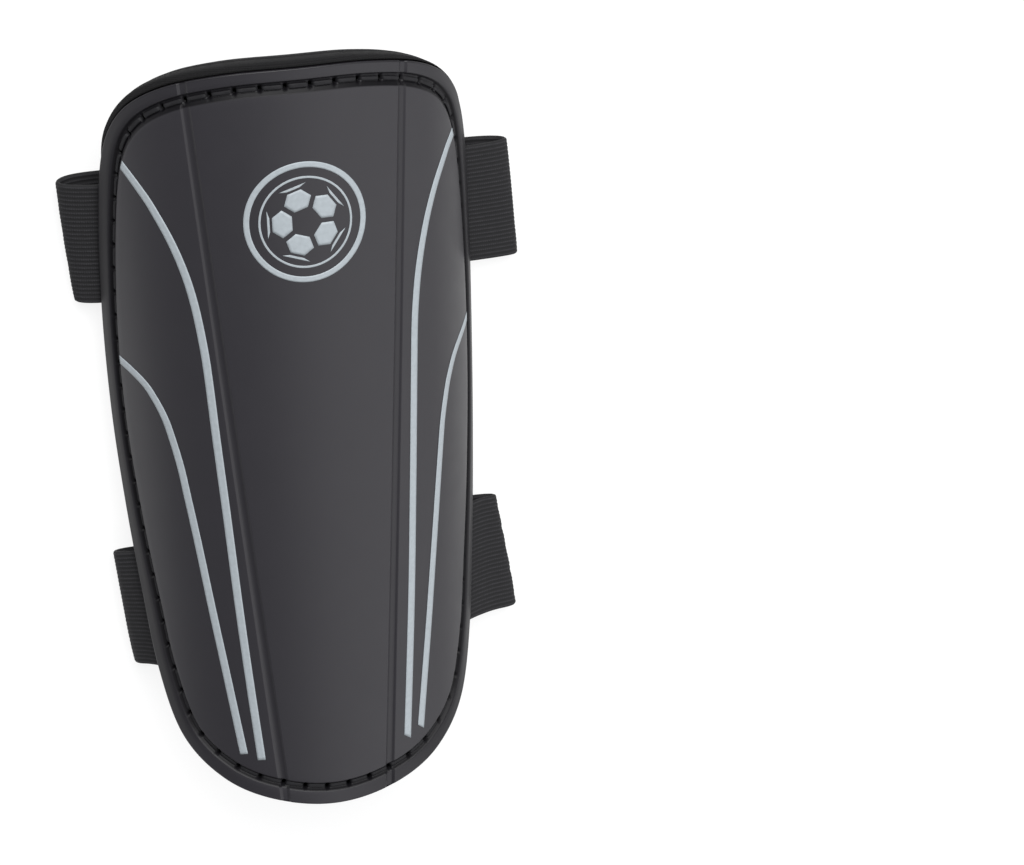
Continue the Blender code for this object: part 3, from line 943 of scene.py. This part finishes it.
def make_strap(name, path, look):
    """An elastic strap with its lengthwise cords and flat selvages; returns it and its length."""
    cords = int(elastic_width / cord_pitch)
    shares = np.linspace(0, 1, columns_per_cord * cords + 1)
    coarse = np.linspace(0, 1, strap_lines)
    lines = np.array([rounded_path(path.at(share), strap_stations) for share in coarse])
    middle = read_off(shares, coarse, lines.reshape(strap_lines, -1))
    middle = middle.reshape(-1, strap_stations, 3)
    from_edge = elastic_width * np.minimum(shares, 1 - shares)
    cord = np.abs(np.sin(math.pi * cords * shares)) - cord_middle
    relief = cord_relief * cord * eased((from_edge - selvage / 2) / selvage)
    inside = np.clip(from_edge / (elastic_thickness / 2), 0, 1)
    half = elastic_thickness / 2 * between(edge_share, 1, np.sqrt(inside)) + relief
    length = float(lengths_along(lines[strap_lines // 2])[-1])
    run = np.linspace(0, length, strap_stations)
    uv = np.stack(np.meshgrid(run, elastic_width * shares), axis=-1).reshape(-1, 2)
    made = sheet(name, middle, np.repeat(half[:, None], strap_stations, axis=1), uv, [look])
    return made, length


def make_flat(name, length, width, middle_y, lower, thickness, looks, relief):
    """A flat woven strip across the guard, with a relief on both faces."""
    xs, ys = np.meshgrid(np.linspace(-length / 2, length / 2, int(length / flat_step) + 1),
                         np.linspace(width / 2, -width / 2, int(width / flat_step) + 1))
    middle = np.stack([xs, middle_y + ys, np.full_like(xs, lower + thickness / 2)], axis=-1)
    half = thickness / 2 - relief(xs, ys)
    uv = np.stack([xs, ys], axis=-1).reshape(-1, 2)
    return sheet(name, middle, half, uv, looks)


def film(name, flat, faces, look):
    """A thin print on the shell through flat points (distance round the curve, y)."""
    made = make_object(name, bent(flat, print_lift), faces, closed=False, looks=[look])
    edit_mesh(made.data, lambda work: bmesh.ops.remove_doubles(work, verts=work.verts,
                                                               dist=print_thickness))
    if made.data.polygons[0].normal.z < 0:
        made.data.flip_normals()
    thick = made.modifiers.new("thickness", "SOLIDIFY")
    thick.thickness = print_thickness
    return made


def make_stripe(name, outline, side, table, end_slant, look):
    """A printed stripe from its cut at the groove down to its slanted end."""
    bend = bend_line()
    points = np.array([(bend(point.high) + point.beyond_bend, point.high) for point in table])
    middle = resampled(smooth_path(points, stripe_steps), stripe_samples)
    run, aside = run_and_aside(middle)
    lines = []
    for offset in np.linspace(-stripe_width / 2, stripe_width / 2, film_lines):
        line = middle + offset * aside
        limit = outline.half_width_at(line[:, 1], shell_border + stripe_cut_margin)
        spare = limit - line[:, 0]
        start = int(np.argmax(spare > 0))
        share = -spare[start - 1] / (spare[start] - spare[start - 1])
        cut = line[start - 1] + share * (line[start] - line[start - 1])
        kept = np.vstack([cut, line[start:]])
        kept[-1] += end_slant * offset * run[-1]
        lines.append(resampled(kept, stripe_stations))
    flat = np.array(lines) * np.array([side, 1])
    return film(name, flat.reshape(-1, 2), grid_faces(numbered(*flat.shape[:2])), look)


def make_ring(name, radius, line, look):
    """A printed ring of the emblem, a line wide inside its radius."""
    middle = roundel_middle_y
    turns = np.linspace(0, 2 * math.pi, ring_turns, endpoint=False)
    reaches = np.linspace(radius - line, radius, film_lines)
    flat = np.array([[(reach * math.cos(turn), middle + reach * math.sin(turn)) for turn in turns]
                     for reach in reaches])
    return film(name, flat.reshape(-1, 2), tube_faces(numbered(*flat.shape[:2])), look)


def ball_panels():
    """The six-sided panels on the near half of a sewn ball, as flat outlines of unit size."""
    work = bmesh.new()
    bmesh.ops.create_icosphere(work, subdivisions=1, radius=1.0)
    top = max(work.verts, key=lambda vertex: vertex.co.z)
    turn = top.co.rotation_difference(Vector((0, 0, 1))).to_matrix()
    panels = []
    for face in work.faces:
        corners = []
        for first, second in zip(face.verts, list(face.verts[1:]) + [face.verts[0]]):
            start, end = turn @ first.co, turn @ second.co
            corners += [start.lerp(end, 1 / 3).normalized(), start.lerp(end, 2 / 3).normalized()]
        centre = sum(corners, Vector()) / len(corners)
        if centre.z > 0:
            panels.append([corner.lerp(centre, ball_seam_share) for corner in corners
                           if corner.z > ball_lowest])
    work.free()
    return [panel for panel in panels if len(panel) > 2]


def make_ball(name, look):
    """The sewn ball of the emblem: bright six-sided panels, with bare seams and dark ones."""
    flat, faces = [], []
    for panel in ball_panels():
        corners = np.array([(corner.x, corner.y) for corner in panel]) * ball_radius
        centre = corners.mean(axis=0)
        for first, second in zip(corners, np.roll(corners, -1, axis=0)):
            number = {}
            for i in range(ball_steps + 1):
                for j in range(ball_steps + 1 - i):
                    number[i, j] = len(flat)
                    along = (first - centre) * i + (second - centre) * j
                    flat.append(centre + along / ball_steps)
            for i in range(ball_steps):
                for j in range(ball_steps - i):
                    faces.append((number[i, j], number[i + 1, j], number[i, j + 1]))
                    if i + j < ball_steps - 1:
                        faces.append((number[i + 1, j], number[i + 1, j + 1], number[i, j + 1]))
    flat = np.array(flat) + np.array([0.0, roundel_middle_y])
    return film(name, flat, faces, look)


class Look:
    """A Principled material whose nodes are added one at a time."""

    def __init__(self, name, colour, roughness):
        self.material = bpy.data.materials.new(name)
        self.material.use_nodes = True
        self.tree = self.material.node_tree
        self.shader = self.tree.nodes["Principled BSDF"]
        self.colour = colour
        self.here = self.add("TexCoord").outputs["Object"]
        self.put("Base Color", (*colour, 1.0))
        self.put("Roughness", roughness)

    def put(self, name, value):
        self.feed(self.shader.inputs[name], value)

    def feed(self, socket, value):
        if isinstance(value, bpy.types.NodeSocket):
            self.tree.links.new(value, socket)
        else:
            socket.default_value = value

    def add(self, kind, **values):
        """A node of a kind with its named inputs set or linked."""
        node = self.tree.nodes.new("ShaderNode" + kind)
        for name, value in values.items():
            self.feed(node.inputs[name], value)
        return node

    def axes(self, output):
        """The three parts of the object's own coordinates or of the flat ones."""
        parts = self.add("SeparateXYZ", Vector=self.add("TexCoord").outputs[output])
        return [parts.outputs[axis] for axis in "XYZ"]

    def noise(self, scale, detail=3.0, place=None):
        """Noise over a place, which is the object's own coordinates unless it is given."""
        place = self.here if place is None else place
        return self.add("TexNoise", Vector=place, Scale=scale, Detail=detail).outputs["Fac"]

    def math(self, operation, first, second=0.0):
        node = self.add("Math")
        node.operation = operation
        self.feed(node.inputs[0], first)
        self.feed(node.inputs[1], second)
        return node.outputs[0]

    def ripple(self, length, pitch):
        """0 to 1 and back once in each pitch of a length."""
        wave = self.math("SINE", self.math("MULTIPLY", length, 2 * math.pi / pitch))
        return self.math("ADD", self.math("MULTIPLY", wave, 0.5), 0.5)

    def ranged(self, value, low, high):
        values = {"Value": value, "To Min": low, "To Max": high}
        return self.add("MapRange", **values).outputs[0]

    def shaded(self, value, low, high):
        """The base colour times a factor from low to high as a value goes from 0 to 1."""
        mix = self.add("Mix")
        mix.data_type = "RGBA"
        self.feed(mix.inputs[0], value)
        for socket, factor in ((6, low), (7, high)):
            mix.inputs[socket].default_value = (*[part * factor for part in self.colour], 1.0)
        self.put("Base Color", mix.outputs[2])

    def bumped(self, *reliefs):
        """The material with bumps one over the other: heights from 0 to 1, sizes in metres."""
        normal = None
        for height, size in reliefs:
            node = self.add("Bump", Height=height, Distance=size, Strength=1.0)
            if normal is not None:
                self.feed(node.inputs["Normal"], normal)
            normal = node.outputs[0]
        self.put("Normal", normal)
        return self.material


def shell_look():
    look = Look("shell_plastic", (0.0170, 0.0156, 0.0200), 0.44)
    grain = look.noise(2600.0, 2.0)
    mottle = look.noise(45.0, 4.0)
    # The shade attribute is painted shade: it darkens the base colour and the reflections
    shade = look.add("Attribute")
    shade.attribute_name = "shade"
    light = look.math("SUBTRACT", 1.0, shade.outputs["Fac"])
    look.shaded(look.math("MULTIPLY", light, look.ranged(mottle, 0.92, 1.0)), 0.0, 1.0)
    look.put("Specular IOR Level", look.math("MULTIPLY", light, 0.5))
    look.put("Roughness", look.ranged(look.noise(160.0), 0.41, 0.49))
    return look.bumped((grain, 0.00001), (mottle, 0.00006))


def print_look():
    look = Look("silver_print", (0.33, 0.365, 0.39), 0.55)
    look.shaded(look.noise(900.0), 0.86, 1.14)
    look.put("Metallic", 0.1)
    look.put("Roughness", look.ranged(look.noise(900.0), 0.48, 0.62))
    return look.bumped((look.noise(2400.0, 2.0), 0.00001))


def thread_look(name, colour):
    look = Look(name, colour, 0.62)
    look.put("Specular IOR Level", 0.2)
    run, round_it, _ = look.axes("UV")
    strand = look.add("CombineXYZ", X=look.math("MULTIPLY", run, 0.15), Y=round_it).outputs[0]
    look.shaded(look.noise(2600.0, place=strand), 0.45, 1.75)
    return look.bumped((look.noise(5200.0, 2.0, strand), 0.00005))


def border_fabric_look():
    look = Look("border_fabric", (0.0072, 0.0070, 0.0076), 0.86)
    x, y, z = look.axes("Object")
    lengthwise = look.ripple(y, 0.00055)
    crosswise = look.ripple(look.math("ADD", x, z), 0.00045)
    knit = look.math("MULTIPLY", lengthwise, crosswise)
    look.shaded(look.noise(380.0), 0.75, 1.25)
    look.put("Specular IOR Level", 0.25)
    return look.bumped((look.noise(60.0), 0.0002), (knit, 0.00009))


def brushed_fabric_look():
    look = Look("brushed_fabric", (0.0075, 0.0075, 0.009), 0.95)
    look.shaded(look.noise(900.0, 5.0), 0.5, 1.6)
    look.put("Specular IOR Level", 0.2)
    return look.bumped((look.noise(70.0), 0.0004), (look.noise(1500.0, 4.0), 0.0002))


def elastic_look():
    look = Look("ribbed_elastic", (0.0135, 0.0132, 0.0148), 0.8)
    run, aside, _ = look.axes("UV")
    cross = look.ripple(run, elastic_pick)
    from_cord = look.math("ADD", aside, -cord_pitch / 4)
    line = look.math("POWER", look.ripple(from_cord, cord_pitch), 3.0)
    streak = look.add("CombineXYZ", X=look.math("MULTIPLY", run, 0.25), Y=aside).outputs[0]
    broken = look.math("MULTIPLY", look.noise(1800.0, place=streak), look.ranged(cross, 0.6, 1.0))
    # The base colour is lifted along the crest of each cord and darkened between them: a painted
    # highlight on the cords and painted shade in their valleys
    look.shaded(look.math("MULTIPLY", line, broken), 0.65, 3.2)
    look.put("Specular IOR Level", 0.3)
    return look.bumped((look.math("MULTIPLY", cross, line), 0.00006),
                       (look.noise(2500.0, place=streak), 0.00006))


def patch_look():
    look = Look("patch_twill", (0.008, 0.008, 0.0095), 0.85)
    x, y, _ = look.axes("UV")
    rising = look.math("ADD", x, y)
    falling = look.math("SUBTRACT", x, y)
    twill = look.ripple(rising, 0.0007)
    lozenge = look.math("MULTIPLY", look.ripple(rising, lozenge_pitch),
                        look.ripple(falling, lozenge_pitch))
    woven = look.math("GREATER_THAN", lozenge, 0.25)
    look.shaded(look.math("MULTIPLY", woven, look.noise(700.0)), 0.7, 2.6)
    return look.bumped((twill, 0.00008), (woven, 0.00012))


def hook_look():
    look = Look("hook_tape", (0.010, 0.010, 0.011), 0.7)
    look.shaded(look.noise(1800.0), 0.4, 1.8)
    return look.bumped((look.noise(1600.0, 2.0), 0.0003))


def floor_look():
    look = Look("floor", floor_colour, 0.9)
    look.put("Emission Color", (1.0, 1.0, 1.0, 1.0))
    look.put("Emission Strength", floor_glow)
    look.shaded(look.noise(3.0), 0.99, 1.01)
    return look.bumped((look.noise(90.0), 0.0001))


def straps_by_name(outline, floor):
    """Each strap's path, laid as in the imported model."""
    outer_lift = patch_thickness + gap
    hook_lift = outer_lift + elastic_thickness + gap
    inner_lift = hook_lift + hook_thickness + gap
    patch_half = patch_length / 2
    lap_lift = elastic_thickness + gap
    upper_outer = ((patch_half + step_run, 0.0), (patch_half + patch_margin / 2, outer_lift),
                   (0.0, outer_lift), (patch_margin - patch_half, outer_lift))
    upper_inner = ((patch_half + patch_margin + step_run, 0.0), (patch_half, inner_lift),
                   (0.0, inner_lift), (-hook_length / 2, inner_lift))
    lower_outer = ((lower_lap_half / 2, 0.0), (0.0, 0.0), (-lower_lap_half, 0.0))
    lower_inner = ((lower_lap_half + gap, lap_lift), (0.0, lap_lift), (-lower_lap_half, lap_lift))
    left, right = -1, 1
    rows = (("upper_strap_outer", left, upper_strap_y, upper_outer),
            ("upper_strap_inner", right, upper_strap_y, upper_inner),
            ("lower_strap_outer", left, lower_strap_y, lower_outer),
            ("lower_strap_inner", right, lower_strap_y, lower_inner))
    return {name: StrapPath(outline, side, FOLDS[name], middle, floor, steps)
            for name, side, middle, steps in rows}, hook_lift


def add_floor():
    bpy.ops.mesh.primitive_plane_add(size=floor_size, location=(0, 0, 0))
    floor = bpy.context.active_object
    floor.name = "floor"
    floor.data.materials.append(floor_look())


def add_light(name, place, size, power):
    """A square soft light at a place, turned to the guard."""
    data = bpy.data.lights.new(name, "AREA")
    data.shape = "SQUARE"
    data.size = size
    data.energy = power
    made = linked(name, data)
    made.location = place
    made.rotation_euler = (-Vector(place)).to_track_quat("-Z", "Y").to_euler()


def add_lights():
    world = bpy.data.worlds.new("studio")
    world.use_nodes = True
    sky = world.node_tree.nodes["Background"].inputs
    sky["Color"].default_value = sky_colour
    sky["Strength"].default_value = sky_strength
    bpy.context.scene.world = world
    for light in LIGHTS:
        add_light(*light)


def add_camera():
    forward = Vector(camera_forward).normalized()
    right = forward.cross(Vector(camera_up)).normalized()
    turned = Matrix((right, right.cross(forward), -forward)).transposed().to_4x4()
    data = bpy.data.cameras.new("camera")
    data.lens = camera_lens
    data.sensor_width = camera_sensor
    made = linked("camera", data)
    made.matrix_world = Matrix.Translation(crest + Vector(camera_place)) @ turned
    bpy.context.scene.camera = made


def dress(piece, slot, *nodes):
    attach(piece, "root")
    if nodes:
        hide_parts(*nodes)


def build():
    outline = Outline()
    groove = Groove(outline)
    floor = -crest.z
    silver = print_look()
    dress(make_shell(outline, groove, shell_look()), "shell", "shell")
    dress(make_stitches(groove, thread_look("shell_thread", (0.0115, 0.0112, 0.0128))), "shell")
    stripes = (("long_stripe_left", -1, LONG_STRIPE_LEFT, 0.0),
               ("long_stripe_right", 1, LONG_STRIPE_RIGHT, right_end_slant),
               ("short_stripe_left", -1, SHORT_STRIPE_LEFT, 0.0),
               ("short_stripe_right", 1, SHORT_STRIPE_RIGHT, right_end_slant))
    for name, side, table, end_slant in stripes:
        dress(make_stripe(name, outline, side, table, end_slant, silver), "shell")
    dress(make_ring("roundel_ring", roundel_radius, roundel_line, silver), "shell")
    dress(make_ring("roundel_ball_edge", ball_radius + 2 * ball_line, ball_line, silver), "shell")
    dress(make_ball("roundel_ball", silver), "shell")

    backing = make_backing(outline, [border_fabric_look(), brushed_fabric_look()])
    dress(backing, "foam_backing", "foam_backing")

    paths, hook_lift = straps_by_name(outline, floor)
    elastic = elastic_look()
    for name, path in paths.items():
        strap, length = make_strap(name + "_elastic", path, elastic)
        dress(strap, "elastic", name)

    patch_y = upper_strap_y + layer_slide * FOLDS["upper_strap_outer"].slide

    def patch_relief(x, y):
        """A sewn line inside the patch's edge."""
        inside = np.minimum(patch_length / 2 - np.abs(x), patch_width / 2 - np.abs(y))
        from_seam = (inside - patch_seam_inset) / patch_seam_half_width
        return patch_seam_depth * np.exp(-from_seam ** 2)

    patch = make_flat("patch_weave", patch_length, patch_width, patch_y, floor, patch_thickness,
                      [patch_look()], patch_relief)
    dress(patch, "patch", "closure_patch")

    def rows_of_hooks(x, y):
        turn = 2 * math.pi / hook_pitch
        return hook_relief * (1 + np.sin(turn * x) * np.sin(turn * y)) / 2

    hook = make_flat("hook_tape_pile", hook_length, hook_width, patch_y, floor + hook_lift,
                     hook_thickness, [hook_look()], rows_of_hooks)
    dress(hook, "hook", "hook_tape")

    add_floor()
    add_lights()
    add_camera()
    bpy.context.scene.view_settings.view_transform = "Standard"


build()
